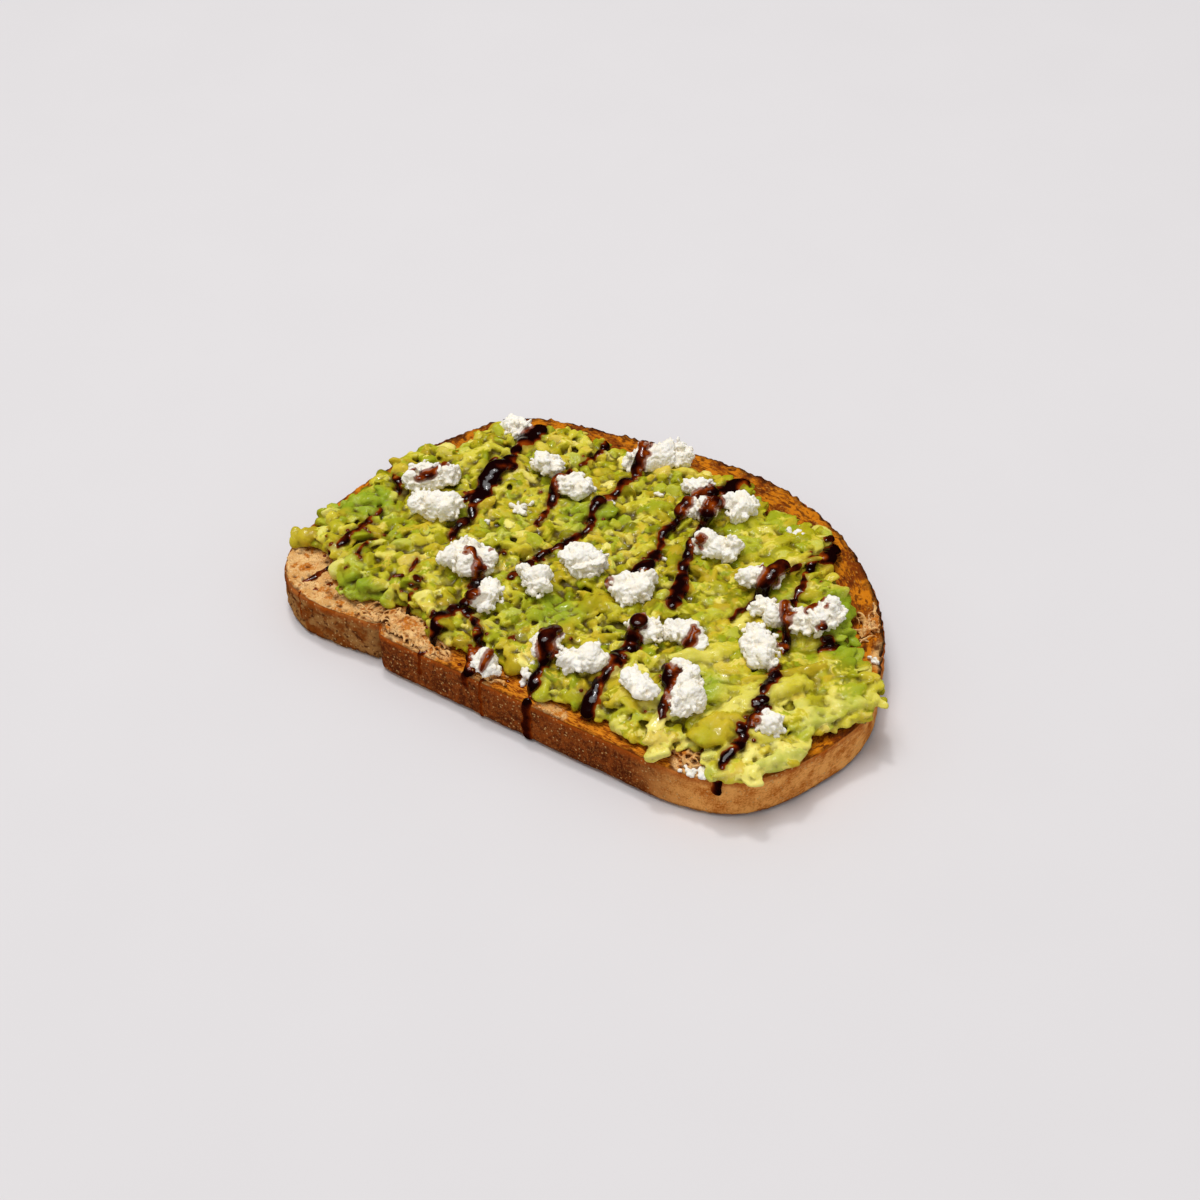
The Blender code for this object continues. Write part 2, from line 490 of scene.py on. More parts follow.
# %% [markdown]
# ## The bread
#
# A slice from a wide loaf, toasted until its rim is scorched. The cut face is crumb: pale, full of
# small holes, browned where the heat reached it. The side is crust, smooth and dark from the tin
# at the front, lighter to the right. Left of the middle the base crust tore as the loaf rose, so
# there the side is pale and fibrous. The outline is taken from the solid's own wall, spaced
# evenly and smoothed, because the solid has corners that a loaf hasn't.

# %% The slice's outline, from the CAD
low, high = (np.array(corner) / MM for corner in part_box("bread_slice"))
THICKNESS = high[2]
ROUNDING = 1.6
AROUND = 900
SMOOTHINGS = 14

cad = points_of(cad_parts["bread_slice"].data)
side = cad[(cad[:, 2] > 1.5) & (cad[:, 2] < THICKNESS - 1.5)]
rim = side[np.abs(side[:, 2] - side[:, 2].min()) < 0.01][:, :2]
rim = rim[np.argsort(np.arctan2(rim[:, 1], rim[:, 0]))]
rim = rim[np.append(True, np.linalg.norm(np.diff(rim, axis=0), axis=1) > 0.01)]
lengths = np.linalg.norm(np.roll(rim, -1, 0) - rim, axis=1)
walked = np.append(0, np.cumsum(lengths))
steps = np.linspace(0, walked[-1], AROUND, endpoint=False)
closed = np.vstack([rim, rim[:1]])
outline = np.stack([np.interp(steps, walked, closed[:, k]) for k in (0, 1)], 1)
for _ in range(SMOOTHINGS):
    outline = outline / 2 + (np.roll(outline, 1, 0) + np.roll(outline, -1, 0)) / 4
print("crust length in mm:", round(walked[-1]), "spacing:", round(walked[-1] / AROUND, 2))

# %% [markdown]
# The tear needs more than the solid gives: the crust to the right of it ends in a rounded lip that
# stands proud, with a narrow dark gap beside it. Both are small pushes on the outline,
# measured along it from the tear.

# %% The tear's lip and gap
TEAR = np.array((-42.5, -55.0))
at_tear = np.argmin(np.linalg.norm(outline - TEAR, axis=1))
along = (np.arange(AROUND) - at_tear) * walked[-1] / AROUND
along = (along + walked[-1] / 2) % walked[-1] - walked[-1] / 2
tangent = np.roll(outline, -1, 0) - np.roll(outline, 1, 0)
tangent /= np.linalg.norm(tangent, axis=1)[:, None]
outward = np.stack([tangent[:, 1], -tangent[:, 0]], 1)
lip = 0.7 * np.exp(-((along - 2.0) / 1.6) ** 2)
gap = 1.5 * np.exp(-((along + 1.2) / 1.0) ** 2)
outline = outline + outward * (lip - gap)[:, None]
print("tear at:", outline[at_tear].round(1), "lip and gap in mm:", lip.max().round(2), gap.max().round(2))

# %% [markdown]
# The slice is rings of points: from the middle of the underside out to the crust, up the wall and
# back in over the top. Rings lie close together where detail shows and far apart where nothing
# does, which a grid or a remesh couldn't do. Both edges are rounded by a quarter circle.

# %% Rings from the middle of the underside to the middle of the top
UNDERSIDE_RINGS = (46, 38, 30, 24, 19, 15, 12, 9.5, 7.5, 6, 5, 4.2, 3.5, 2.9, 2.3)
turns = np.radians(np.linspace(0, 90, 5))
round_in = ROUNDING * (1 - np.sin(turns))
round_up = ROUNDING * (1 - np.cos(turns))
under = [(inward, 0.0) for inward in UNDERSIDE_RINGS]
under += list(zip(round_in, round_up))
wall = [(0.0, z) for z in np.linspace(ROUNDING, THICKNESS - ROUNDING, 19)[1:-1]]
over = [(inward, THICKNESS - up) for inward, up in zip(round_in[::-1], round_up[::-1])]
over += [(inward, THICKNESS) for inward in np.arange(2.1, 21, 0.5)]
over += [(inward, THICKNESS) for inward in (23, 27, 33, 40, 47)]
profile = under + wall + over

reach = np.linalg.norm(outline, axis=1)
rings = []
for inward, z in profile:
    shrunk = outline * (1 - inward / reach)[:, None]
    rings.append(np.column_stack([shrunk, np.full(AROUND, z)]))
points = np.concatenate(rings)
inwards = np.repeat([inward for inward, _ in profile], AROUND)
around = np.tile(along, len(profile))
rim_places = np.tile(outline, (len(profile), 1))

index = np.arange(len(points)).reshape(len(profile), AROUND)
nxt = np.roll(index, -1, 1)
quads = np.stack([index[:-1], nxt[:-1], nxt[1:], index[1:]], -1).reshape(-1, 4)
points = np.vstack([points, (0, 0, 0), (0, 0, THICKNESS)])
inwards = np.append(inwards, (50, 50))
around = np.append(around, (0, 0))
rim_places = np.vstack([rim_places, (0, 0), (0, 0)])
bottom, top = len(points) - 2, len(points) - 1
caps = [np.stack([nxt[0], index[0], np.full(AROUND, bottom)], 1)]
caps += [np.stack([index[-1], nxt[-1], np.full(AROUND, top)], 1)]
triangles = np.concatenate([quads[:, [0, 1, 2]], quads[:, [0, 2, 3]], *caps])
toast = mesh_object("toasted_slice", points, triangles)
print("bread:", len(points), "points")

# %% [markdown]
# Where each kind of surface lies is worked out once, as a number for each point: how much of it
# is crust, how far in from the rim it is, and where the bread is bare and pale. The shape
# uses these numbers now, and the material reads the same ones later, so that a pit gets painted
# shade where the surface dips.

# %% Kinds of surface
PALE_PATCHES = (
    (-70, -46, 18, 15), (-52, -55, 15, 8), (-31, -54, 11, 5), (80, 13, 5, 10), (56, -53, 8, 4),
    (14, -56, 5, 3), (-10, -58, 6, 3),
)
facing = normals_of(toast.data)
crust = 1 - eased(np.abs(facing[:, 2]), 0.45, 0.8)
is_top = facing[:, 2] > 0.5
torn_left = eased(-around, -0.5, 0.8) * (1 - eased(-around, 62, 78))
tan_right = eased(around, 80, 104) * (1 - eased(around, 165, 190))
pale = np.zeros(len(points))
for x, y, wide, deep in PALE_PATCHES:
    away = np.hypot((points[:, 0] - x) / wide, (points[:, 1] - y) / deep)
    pale = np.maximum(pale, 1 - eased(away + 0.25 * rough(points, 5, 3), 0.75, 1.1))
at_back = eased(points[:, 1] + 0.35 * np.abs(points[:, 0]), 12, 30)
torn_top = np.exp(-(((points[:, 0] + 36) / 9) ** 2 + ((points[:, 1] + 51) / 4.5) ** 2)) * is_top
print("share of the points that are crust:", crust.mean().round(2))

# %% [markdown]
# Real crumb is full of round holes where gas was, and its cut face is never flat. Each hole here is
# one cell of a Voronoi pattern, kept or not by chance, so the holes are round and uneven in
# spread. The rest is noise: long waves on the crust, finer roughness on the crumb, and a blistered
# edge. Behind the edge the face sinks a little, as it does when toast dries.

# %% Pores and relief
def pores(points, size, seed, share):
    """1 in the middle of each of a scatter of round holes, 0 between them."""
    bent = np.stack([rough(points, size, seed + 0.1 * k) for k in range(3)], 1) * 0.45
    depth = np.empty(len(points))
    for i, place in enumerate((points / size + bent + seed * 3.3).tolist()):
        distances, middles = noise.voronoi(place)
        chosen = noise.cell(middles[0] * 9.7) < share
        depth[i] = max(0.0, 1 - (distances[0] / 0.42) ** 2) if chosen else 0.0
    return depth


pits = np.maximum(pores(points, 3.0, 1, 0.16), 0.8 * pores(points, 1.5, 2, 0.26))
crumb = 1 - crust
relief = crust * (0.32 * rough(points, 9, 4) + 0.14 * rough(points, 2.6, 5))
relief += crust * torn_left * (0.45 * rough(points, 3.4, 6) - 0.55 * pits)
relief += crumb * (0.20 * rough(points, 6, 7) + 0.16 * rough(points, 1.7, 8))
relief -= crumb * pits * (0.35 + 0.45 * pale)
edge = np.exp(-((inwards - 1.0) / 1.3) ** 2) * (points[:, 2] > THICKNESS / 2)
relief += edge * (0.30 + 0.50 * at_back) * (rough(points, 2.2, 9) + 0.6 * rough(points, 1.1, 10))
at_front = eased(-points[:, 1], 38, 50)
cut_marks = rough(points * (0.3, 1.4, 1.0), 0.9, 12)
relief += at_front * crumb * 0.35 * cut_marks
relief -= is_top * 0.45 * np.exp(-((inwards - 6.5) / 4) ** 2)
fibres = rough(points * (0.35, 1.6, 1.0), 1.0, 11)
relief += torn_top * (0.9 * fibres - 0.9)
shaped = points + facing * relief[:, None]
shaped[:, 2] = np.maximum(shaped[:, 2], 0)
move_points(toast.data, shaped)

# The finish reads "pits" for painted shade as well as for the pores' place.
marks = {
    "crust": crust, "pale": pale, "pits": pits, "inward": inwards, "torn": torn_left, "tan": tan_right,
    # "fibres" marks the torn patch, which the finish darkens as painted shadow under the strands.
    "back": at_back, "fibres": torn_top, "front": at_front,
    "rim_x": rim_places[:, 0], "rim_y": rim_places[:, 1],
}
for name, values in marks.items():
    mark(toast.data, name, values)
print("relief in mm:", relief.min().round(2), "to", relief.max().round(2))

# %% [markdown]
# ### Toasted finish
#
# Heat browns whatever stands out, so the highest bits of the rim are almost black, the face behind
# them is orange brown, and the hollows stay pale. The colours go from one to the next through
# noise of several sizes, because one size alone looks printed. Near the rim some of it is read by
# the place on the outline and the distance from it, which draws it out along the rim.

# %% Noise for the toasted finish
baked = Finish("toasted_bread")
blotches = baked.grain(6, 4, 0.6)
specks = baked.grain(0.7, 2, 0.6)
streaks = baked.grain(0.55, 2, 0.6, baked.stretched(2.2, 0.8, 2.6))
cross = baked.grain(0.6, 2, 0.6, baked.stretched(0.7, 3.2, 0.9))
inward = baked.marked("inward")
by_rim = {"X": baked.marked("rim_x") * 0.32, "Y": baked.marked("rim_y") * 0.32, "Z": inward}
by_rim = baked.node("ShaderNodeCombineXYZ", {}, by_rim)
along_rim = baked.grain(0.7, 3, 0.65, by_rim)
back, front = baked.marked("back"), baked.marked("front")

# %% [markdown]
# The face has two states. Where it was bare and pale, cream crumb carries toasted spots, pale specks
# and dark cracks, which are the places where a noise crosses its middle value. Where it
# browned, blotches run from orange to dark brown, and the front is more golden.

# %% Colours of the cut face
cracked = baked.math("ABSOLUTE", baked.grain(2.6, 4, 0.72) - 0.5)
cracks = (1 - cracked.rise(0.003, 0.018)) * blotches.rise(0.44, 0.54)
bare_crumb = baked.mix((0.70, 0.36, 0.11), (0.90, 0.56, 0.23), baked.grain(3, 4).rise(0.35, 0.65))
for colour, share in (
    ((0.58, 0.17, 0.008), baked.grain(4.5, 5, 0.65).rise(0.50, 0.58) * 0.9),
    ((0.24, 0.075, 0.018), baked.grain(1.8, 4, 0.7).rise(0.58, 0.68) * 0.8),
    ((0.95, 0.66, 0.36), specks.rise(0.54, 0.68) * 0.5),
    ((0.24, 0.075, 0.016), cracks * 0.8),
    # Painted shadow: the torn patch under the strands is darkened.
    ((0.14, 0.040, 0.008), baked.marked("fibres").rise(0.15, 0.6) * 0.85),
):
    bare_crumb = baked.mix(bare_crumb, colour, share)

uneven = (blotches * 0.6 + along_rim * 0.4).rise(0.44, 0.58)
golden = baked.mix((0.22, 0.033, 0.001), (0.80, 0.27, 0.015), along_rim.rise(0.38, 0.58))
browned = baked.mix((0.64, 0.200, 0.005), (0.20, 0.036, 0.001), uneven)
for colour, share in (
    ((0.80, 0.40, 0.07), (specks * 0.4 + along_rim * 0.6).rise(0.55, 0.65) * 0.5),
    ((0.10, 0.018, 0.001), baked.grain(1.2, 2, 0.6, by_rim).rise(0.55, 0.62) * 0.8),
    (golden, front * 0.85),
):
    browned = baked.mix(browned, colour, share)
face = baked.mix(browned, bare_crumb, baked.marked("pale"))
# Painted shade: pores are darkened where the surface dips into them.
face = baked.mix(face, (0.08, 0.018, 0.003), baked.marked("pits").rise(0.25, 0.9) * 0.85)

# %% [markdown]
# The very edge is scorched, nearly black at the back and browner in front. Its inner border is
# ragged, because noise is added to the distance from the rim before the border is drawn.

# %% The scorched rim
ragged = inward + (baked.grain(2.4, 3, 0.6) + baked.grain(1.3, 2, 0.6, by_rim)) * 2.0
scorched = 1 - ragged.rise(2.2, 3.1 + back * 1.3)
char = baked.mix((0.12, 0.024, 0.003), (0.016, 0.006, 0.002), back * 0.9)
face = baked.mix(face, char, scorched * (0.65 + back * 0.35))

# %% [markdown]
# The crust was browned in the oven before: it is darker and shinier, covered with fine scratches
# and tiny pale specks of flour. It has three colours, dark at the front, tan to the right and
# raw left of the tear. All are darker towards the base and warmer at the top edge.

# %% Colours of the crust
patchy = (blotches * 0.5 + streaks * 0.5).rise(0.40, 0.60)
dark_crust = baked.mix((0.11, 0.017, 0.001), (0.30, 0.062, 0.005), patchy)
dark_crust = baked.mix(dark_crust, (0.46, 0.17, 0.035), cross.rise(0.55, 0.66) * 0.7)
mottled = (blotches * 0.6 + cross * 0.4).rise(0.36, 0.60)
tan_crust = baked.mix((0.52, 0.13, 0.007), (0.95, 0.44, 0.11), mottled)
raw_crust = baked.mix((0.42, 0.19, 0.050), (0.27, 0.065, 0.004), blotches.rise(0.44, 0.58))
raw_crust = baked.mix(raw_crust, (0.12, 0.030, 0.004), baked.grain(1.6, 3, 0.6).rise(0.54, 0.66))
crust_colour = baked.mix(dark_crust, tan_crust, baked.marked("tan"))
crust_colour = baked.mix(crust_colour, raw_crust, baked.marked("torn"))
up = baked.node("ShaderNodeSeparateXYZ", {}, {0: baked.place}, 2)
base = 1 - (up + blotches * 2).rise(1.2, 3.0)
top_edge = (up + streaks * 2).rise(THICKNESS - 2.1, THICKNESS - 0.3)
flour = (0.34 - baked.cells(1.3)).rise(0.08, 0.18) * baked.grain(5, 2).rise(0.40, 0.52)
for colour, share in (
    ((0.10, 0.018, 0.001), base * 0.75),
    ((0.40, 0.075, 0.003), top_edge * 0.65),
    ((0.66, 0.38, 0.14), flour * 0.85),
):
    crust_colour = baked.mix(crust_colour, colour, share)

# %% [markdown]
# Face and crust meet in one material, by the number marked on the mesh. The bump carries only what
# is too fine for the mesh: scratches on the crust, and grit and fibres on the crumb.

# %% Toasted finish
is_crust = baked.marked("crust").rise(0.35, 0.75)
scratches = streaks * 0.5 + cross * 0.5
grit = specks + along_rim * front + baked.grain(0.35, 2) * 0.5
height = is_crust * scratches + (1 - is_crust) * grit
baked.set(
    Base_Color=baked.mix(face, crust_colour, is_crust),
    Roughness=0.52 - is_crust * 0.12 + specks * 0.2,
    Normal=baked.bump(height, 0.26),
    Specular_IOR_Level=0.05,
)
dressed(toast, baked, "toasted_bread", "bread_slice")
print("nodes in the bread's finish:", len(baked.tree.nodes))

# %% [markdown]
# Where the crumb was pulled apart it ends in fine strands, the walls between pores drawn out. Each is
# a string of tiny beads that curls up and comes down again, all fused into one skin.

# %% Strands of torn crumb
STRANDS = (
    (-37, -51.2, 8.0, 4.0, 150), (-29, -53.0, 5, 2.0, 34), (-8, -54.4, 5, 1.4, 26), (51, -51.6, 5, 2.0, 18),
    (-50, -52.8, 5, 2.0, 14), (70.5, 17, 2.2, 6, 46),
)
STEP = 0.34
draw = np.random.default_rng(9)
strands = Heap()
slice_below = looking_down("bread_slice")
for x, y, wide, deep, count in STRANDS:
    for _ in range(count):
        place = np.array((x, y)) + draw.normal(0, 0.5, 2) * (wide, deep)
        heading = draw.normal(10, 40) if wide > deep else draw.normal(80, 40)
        steps = draw.integers(8, 20)
        arch, thickness = draw.uniform(0.3, 2.0), draw.uniform(0.22, 0.46)
        for k in range(steps):
            heading += draw.normal(0, 14)
            turn = math.radians(heading)
            place = place + STEP * np.array((math.cos(turn), math.sin(turn)))
            if height_at(slice_below, *(place * 1.02)) is None:
                break
            z = THICKNESS - 0.15 + arch * math.sin(math.pi * (k + 0.5) / steps)
            strands.add(BALLS[2][0] * thickness + (*place, z), BALLS[2][1])
torn_crumb = fused("torn_crumb", *strands.joined(), voxel=0.22, softening=1, most=60000)
blank = np.zeros(len(torn_crumb.data.vertices))
for name, value in (("inward", 20), ("pale", 1), ("crust", 0), ("rim_x", 0), ("rim_y", 0), ("fibres", 0)):
    mark(torn_crumb.data, name, blank + value)
dressed(torn_crumb, baked, "toasted_bread")

# %% [markdown]
# ## The smashed avocado
#
# A fork breaks ripe flesh into chunks and a spoon then drags them across the bread. At the left end
# they stayed small and sharp, 2 to 6 mm. To the right the spoon pressed them into long soft
# folds that all point the same way. So the layer is a heap: a smooth body from the CAD, a few
# large folds laid where the real one shows them, and thousands of chunks scattered
# over it, whose length, size and turn depend on how far right they lie. The body comes first.
# It is a little smaller than the solid, so that the chunks on it end at the solid's size.

# %% Body of the mash
draw = np.random.default_rng(20)
mash_tree = looking_down("avocado_mash")
mash_low, mash_high = (np.array(corner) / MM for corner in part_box("avocado_mash"))
MASH_FLOOR = mash_low[2]
heap = Heap()

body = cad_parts["avocado_mash"].data
body_points = points_of(body) * (0.976, 0.976, 1)
body_points[:, 2] = MASH_FLOOR + (body_points[:, 2] - MASH_FLOOR) * 0.78
mush = fused("mush", body_points, triangles_of(body), voxel=0.9, softening=4)
mush_points = points_of(mush.data)
waves = 0.9 * rough(mush_points, 6, 31) + 0.7 * rough(mush_points, 2.8, 32)
waves += 1.5 * rough(mush_points * (1, 1, 0), 13, 0.45)
waves *= eased(mush_points[:, 2], MASH_FLOOR + 0.2, MASH_FLOOR + 1.5)
mush_points += normals_of(mush.data) * waves[:, None]
BODY_AT = len(heap.points)
heap.add(mush_points, triangles_of(mush.data), 0.42 + 0.3 * rough(mush_points, 5, 33))
bpy.data.objects.remove(mush)


def undulation(x, y):
    """Slow rises and dips of the whole layer, in millimetres."""
    return 1.5 * noise.noise((x / 13, y / 13, 3.3))


def smeared(x, y):
    """How far the spoon has dragged the mash at a place, from 0 to 1."""
    return eased(x + 0.25 * y, 8, 44)


# %% [markdown]
# The spread stops short of the crust in places, and chunks must not cross its edge. So the outline
# is kept as a tree of places to measure from, and a chunk that would pass it moves inwards. The
# bays of bare bread along the front are round spots that push everything out of them.

# %% The outline, to keep chunks inside it
BARE_SPOTS = (
    (-75.5, -51.5, 12.5), (-46, -55.5, 7), (-36, -54.5, 8), (53, -53.5, 5), (89, -33, 12.5), (30, -57, 4),
)

DIRECTIONS = 1440
edge_tree = KDTree(DIRECTIONS)
for number, angle in enumerate(np.linspace(0, 2 * math.pi, DIRECTIONS, endpoint=False)):
    way = Vector((math.cos(angle), math.sin(angle), 0))
    reach = 0
    for z in (MASH_FLOOR + 0.7, MASH_FLOOR + 1.2, MASH_FLOOR + 2.0):
        hit = mash_tree.ray_cast(way * 150 + Vector((0, 0, z)), -way)[0]
        reach = max(reach, hit.xy.length if hit else 0)
    edge_tree.insert((way.x * reach, way.y * reach, 0), number)
edge_tree.balance()


def off_bare(points, radius=0.0):
    """The points, pushed out of the round spots of bare bread."""
    points = np.array(points, float)
    for x, y, size in BARE_SPOTS:
        away = points[..., :2] - (x, y)
        gap = np.maximum(np.linalg.norm(away, axis=-1), 0.01)
        points[..., :2] += away * (np.maximum(size + radius - gap, 0) / gap)[..., None]
    return points


def kept_inside(x, y, radius):
    """The place, moved inwards where a chunk of that radius would pass the outline."""
    near, _, gap = edge_tree.find((x, y, 0))
    if gap < radius and gap > 0.01:
        push = (radius - gap) / gap
        x, y = x + (x - near.x) * push, y + (y - near.y) * push
    return off_bare((x, y), radius)


heap.points[BODY_AT] = off_bare(heap.points[BODY_AT])
print("bare spots:", len(BARE_SPOTS))

# %% [markdown]
# The folds are the largest shapes and the eye finds them first, so they aren't left to chance. Each
# is one big chunk with its place, length, width, height, turn and tint: the first and largest
# lie to the right, side by side, as the spoon left them.

# %% Folds that the spoon left
FOLDS = (
    (61, -27, 38, 9, 3.6, 47, 0.66), (45, -19, 32, 8, 3.2, 46, 0.72), (59, -20, 36, 6, 3.0, 43, 0.35),
    (52, -31, 26, 6, 3.2, 44, 0.55), (79, -15, 16, 12, 3.6, 20, 0.85), (76, -25, 17, 9, 3.8, 60, 0.74),
    (66, -38, 16, 8, 3.4, 50, 0.60),
    (75, -38, 15, 6, 3.8, 60, 0.80), (56, -45, 16, 11, 3.4, 62, 0.30), (62, -47, 9, 6, 2.2, 30, 0.60),
    (45, -53, 10, 7, 3.6, 40, 0.868), (27, 20, 17, 7, 2.8, 28, 0.75), (36, -6, 14, 5, 2.6, 42, 0.74),
    (64, 15, 12, 6, 2.8, 62, 0.15), (-59, -46, 7, 6, 4.6, 20, 0.12), (-53, -47, 7, 5, 4.2, 60, 0.20),
    (-20, -36, 12, 6, 3.6, 30, 0.6),
    (5, -20, 12, 9, 4.0, 20, 0.30), (-15, 12, 12, 7, 3.4, 30, 0.12),
)
for x, y, long, wide, tall, turn, tint in FOLDS:
    shape = chunk(draw, 4, planes=12, nearest=0.62, sharp=9) * (long / 2, wide / 2, tall / 2 + 1)
    seed = draw.uniform(0, 90)
    lumpy = rough(shape * (0.7, 1, 0.5), 3.4, seed) * 0.9 + rough(shape, 1.8, seed) * 0.45
    ruffled = 1 + 0.18 * rough(shape, 4.5, seed) + 0.14 * rough(shape, 2.0, seed)
    shape = shape * ruffled[:, None] + (0, 0, 1) * lumpy[:, None]
    shape = turned(shape, turn, draw.uniform(-4, 4), draw.uniform(-16, -8))
    x, y = kept_inside(x, y, wide * 0.45)
    level = height_at(mash_tree, x, y, MASH_FLOOR + 2) + 0.7 * undulation(x, y)
    heap.add(shape + (x, y, level - 0.7), BALLS[4][1], tint)
print("folds:", len(FOLDS))

# %% [markdown]
# At the front right the spread ends in lobes with torn, ragged borders. A big smooth shape can't
# have such a border, so small sharp chunks are packed round a few places along it.

# %% Ragged bits along the lobes at the front right
LOBES = (
    (64, -49.5, 4.5, 26), (60, -47, 4, 12), (69, -47, 4, 14), (67, -42, 4, 10), (74, -39, 3.6, 14),
    (76.5, -33, 2.4, 9), (72, -33, 4, 10), (50, -46, 4, 9), (45.5, -53.5, 2.6, 9), (78, -25, 2.4, 8),
    (83, -15, 2.6, 9), (35, -50, 3, 7),
)
for x, y, spread, count in LOBES:
    for _ in range(count):
        away = np.clip(draw.normal(0, 0.5, 2), -0.9, 0.9)
        spot = off_bare((x, y) + away * spread, 1.0)
        size = draw.uniform(1.0, 2.2)
        shape = chunk(draw, 3, 7, nearest=0.42, sharp=14)
        shape = shape * (size * draw.uniform(1.2, 2.2), size * draw.uniform(0.8, 1.1), size * 0.6)
        shape = turned(shape, draw.normal(55, 30), draw.normal(0, 14), draw.normal(-10, 16))
        level = MASH_FLOOR + draw.uniform(0.6, 2.8)
        heap.add(shape + (*spot, level), BALLS[3][1], np.clip(draw.normal(0.66, 0.16), 0, 1))
print("ragged bits:", sum(count for *_, count in LOBES))

# %% [markdown]
# One lobe runs out to a point over the crust at the right end. It is a row of chunks that get
# narrower and lower towards the tip.

# %% The pointed tip that hangs over the right end
for share in np.linspace(0, 1, 6):
    wide = 5.6 - 4.5 * share
    shape = chunk(draw, 3, planes=9) * (2.4, wide, 1.0 + wide * 0.25)
    heap.add(shape + (76 + 11 * share, share - 11, MASH_FLOOR + 2.4 + 0.3 * wide), BALLS[3][1], 0.9)
print("lumps in the heap so far:", len(heap.points))

# %% [markdown]
# The rest is scattered in three sizes. Each size has its own uneven rows, so that large chunks
# never pile up, and small ones fill in between. About one in five is a thin shred. Towards the
# right the chunks get longer, flatter and smoother and turn the way the spoon went.

# %% Chunks, from large to crumbs
def scatter(spacing):
    """Places on the mash about that far apart, in uneven rows."""
    places = []
    for row, y in enumerate(np.arange(mash_low[1], mash_high[1], spacing * 0.87)):
        for x in np.arange(mash_low[0] + spacing / 2 * (row % 2), mash_high[0], spacing):
            spot = (x + draw.normal(0, spacing * 0.3), y + draw.normal(0, spacing * 0.3))
            if height_at(mash_tree, *spot) is not None:
                places.append(spot)
    return places


def lay_chunk(x, y, size, steps, sunk):
    """One chunk of that size on the mash, drawn out where the spoon has passed."""
    drag = smeared(x, y)
    shred = draw.uniform() < 0.2
    wide = size * draw.uniform(0.70, 1.10) * (0.62 if shred else 1)
    long = min(wide * draw.uniform(1.0, 1.7) * (1 + 0.3 * drag) * (1.7 if shred else 1), 9.5)
    tall = size * draw.uniform(0.50, 0.85) * (1 - 0.35 * drag)
    gap = edge_tree.find((x, y, 0))[2]
    long = min(long, max(wide, 2 * gap + 0.8))
    x, y = kept_inside(x, y, (long + wide) * 0.16)
    level = height_at(mash_tree, x, y, MASH_FLOOR + 1) + undulation(x, y)
    turn = 38 + 10 * drag + draw.normal(0, 1) * (42 - 24 * drag)
    shape = chunk(draw, steps, 9, nearest=0.45 + 0.2 * drag, sharp=14 - 6 * drag)
    shape = shape * (long / 2, wide / 2, tall / 2)
    tilt = draw.normal(0, 1) * (20 - 12 * drag)
    roll = draw.normal(0, 1) * (26 - 14 * drag)
    lift = max(level - tall * sunk * draw.uniform(0.6, 1.5), MASH_FLOOR + tall * 0.36)
    tint = np.clip(0.5 + 0.24 * draw.normal(0, 1) + 0.10 * drag, 0, 1)
    heap.add(turned(shape, turn, tilt, roll) + (x, y, lift), BALLS[steps][1], tint)


KINDS = ((5.4, 6.4, 3, 0.36, 0.90), (3.5, 4.0, 3, 0.22, 0.85), (2.5, 2.3, 2, 0.12, 0.35))
for spacing, size, steps, sunk, share in KINDS:
    places = scatter(spacing)
    for x, y in places:
        if draw.uniform() < share * (1 - 0.25 * smeared(x, y)):
            lay_chunk(x, y, min(size * math.exp(draw.normal(0, 0.22)), 7.0), steps, sunk)
    print(f"{len(places)} places for chunks of about {size} mm")

# %% [markdown]
# The heap is fused without softening, which keeps the broken edges. Deep hollows are then partly
# filled, because wet mash closes up, and soft billows are added that no chunk is fine enough
# to give. Nothing moves at the underside, which lies flat on the bread.

# %% One skin round all of it
mash = fused("smashed_avocado_layer", *heap.joined(), voxel=0.42, softening=0)
deep = hollows(mash.data, 12)
skin = points_of(mash.data)
wet = normals_of(mash.data)
above = eased(skin[:, 2], MASH_FLOOR + 0.2, MASH_FLOOR + 1)
drag = smeared(skin[:, 0], skin[:, 1])
filled = (0.60 + 0.25 * drag) * np.clip(deep - 0.20, 0, 1.4)
billows = np.abs(rough(skin, 2.8, 21)) * 1.5 - 0.35
fine = 0.40 * billows + 0.20 * rough(skin, 1.5, 22) + 0.07 * rough(skin, 0.8, 24)
skin = skin + wet * ((filled + fine) * above)[:, None]
skin[:, 2] = np.maximum(skin[:, 2], MASH_FLOOR - 0.1)
move_points(mash.data, skin)

# %% [markdown]
# ### Avocado finish
#
# Ripe flesh runs from deep yellow near the stone to green under the skin, so each chunk has its own
# tint. The crevices between chunks are painted darker, as shade, because little light gets out of
# them. The flesh is soft and wet: light sinks in a millimetre and comes out again, and a thin film
# of water gives pin sharp glints over a dull surface. Subsurface scattering and a coat do that.

# %% Tints and hollows
tints = heap.tints_at(skin)
# Painted shade and painted light: tints are darkened over the right half, away from the front, and
# lightened at the front right. So the marked tint holds painted shade and light as well as each chunk's own
# tint.
painted_shade_and_light = 0.15 * eased(skin[:, 1], -30, -8) * eased(skin[:, 0], 0, 20) - 0.01
painted_shade_and_light -= 0.11 * eased(-skin[:, 1], 12, 28) * eased(skin[:, 0], 30, 50)
mark(mash.data, "tint", tints - painted_shade_and_light)
mark(mash.data, "hue", tints * 17.3 % 1)
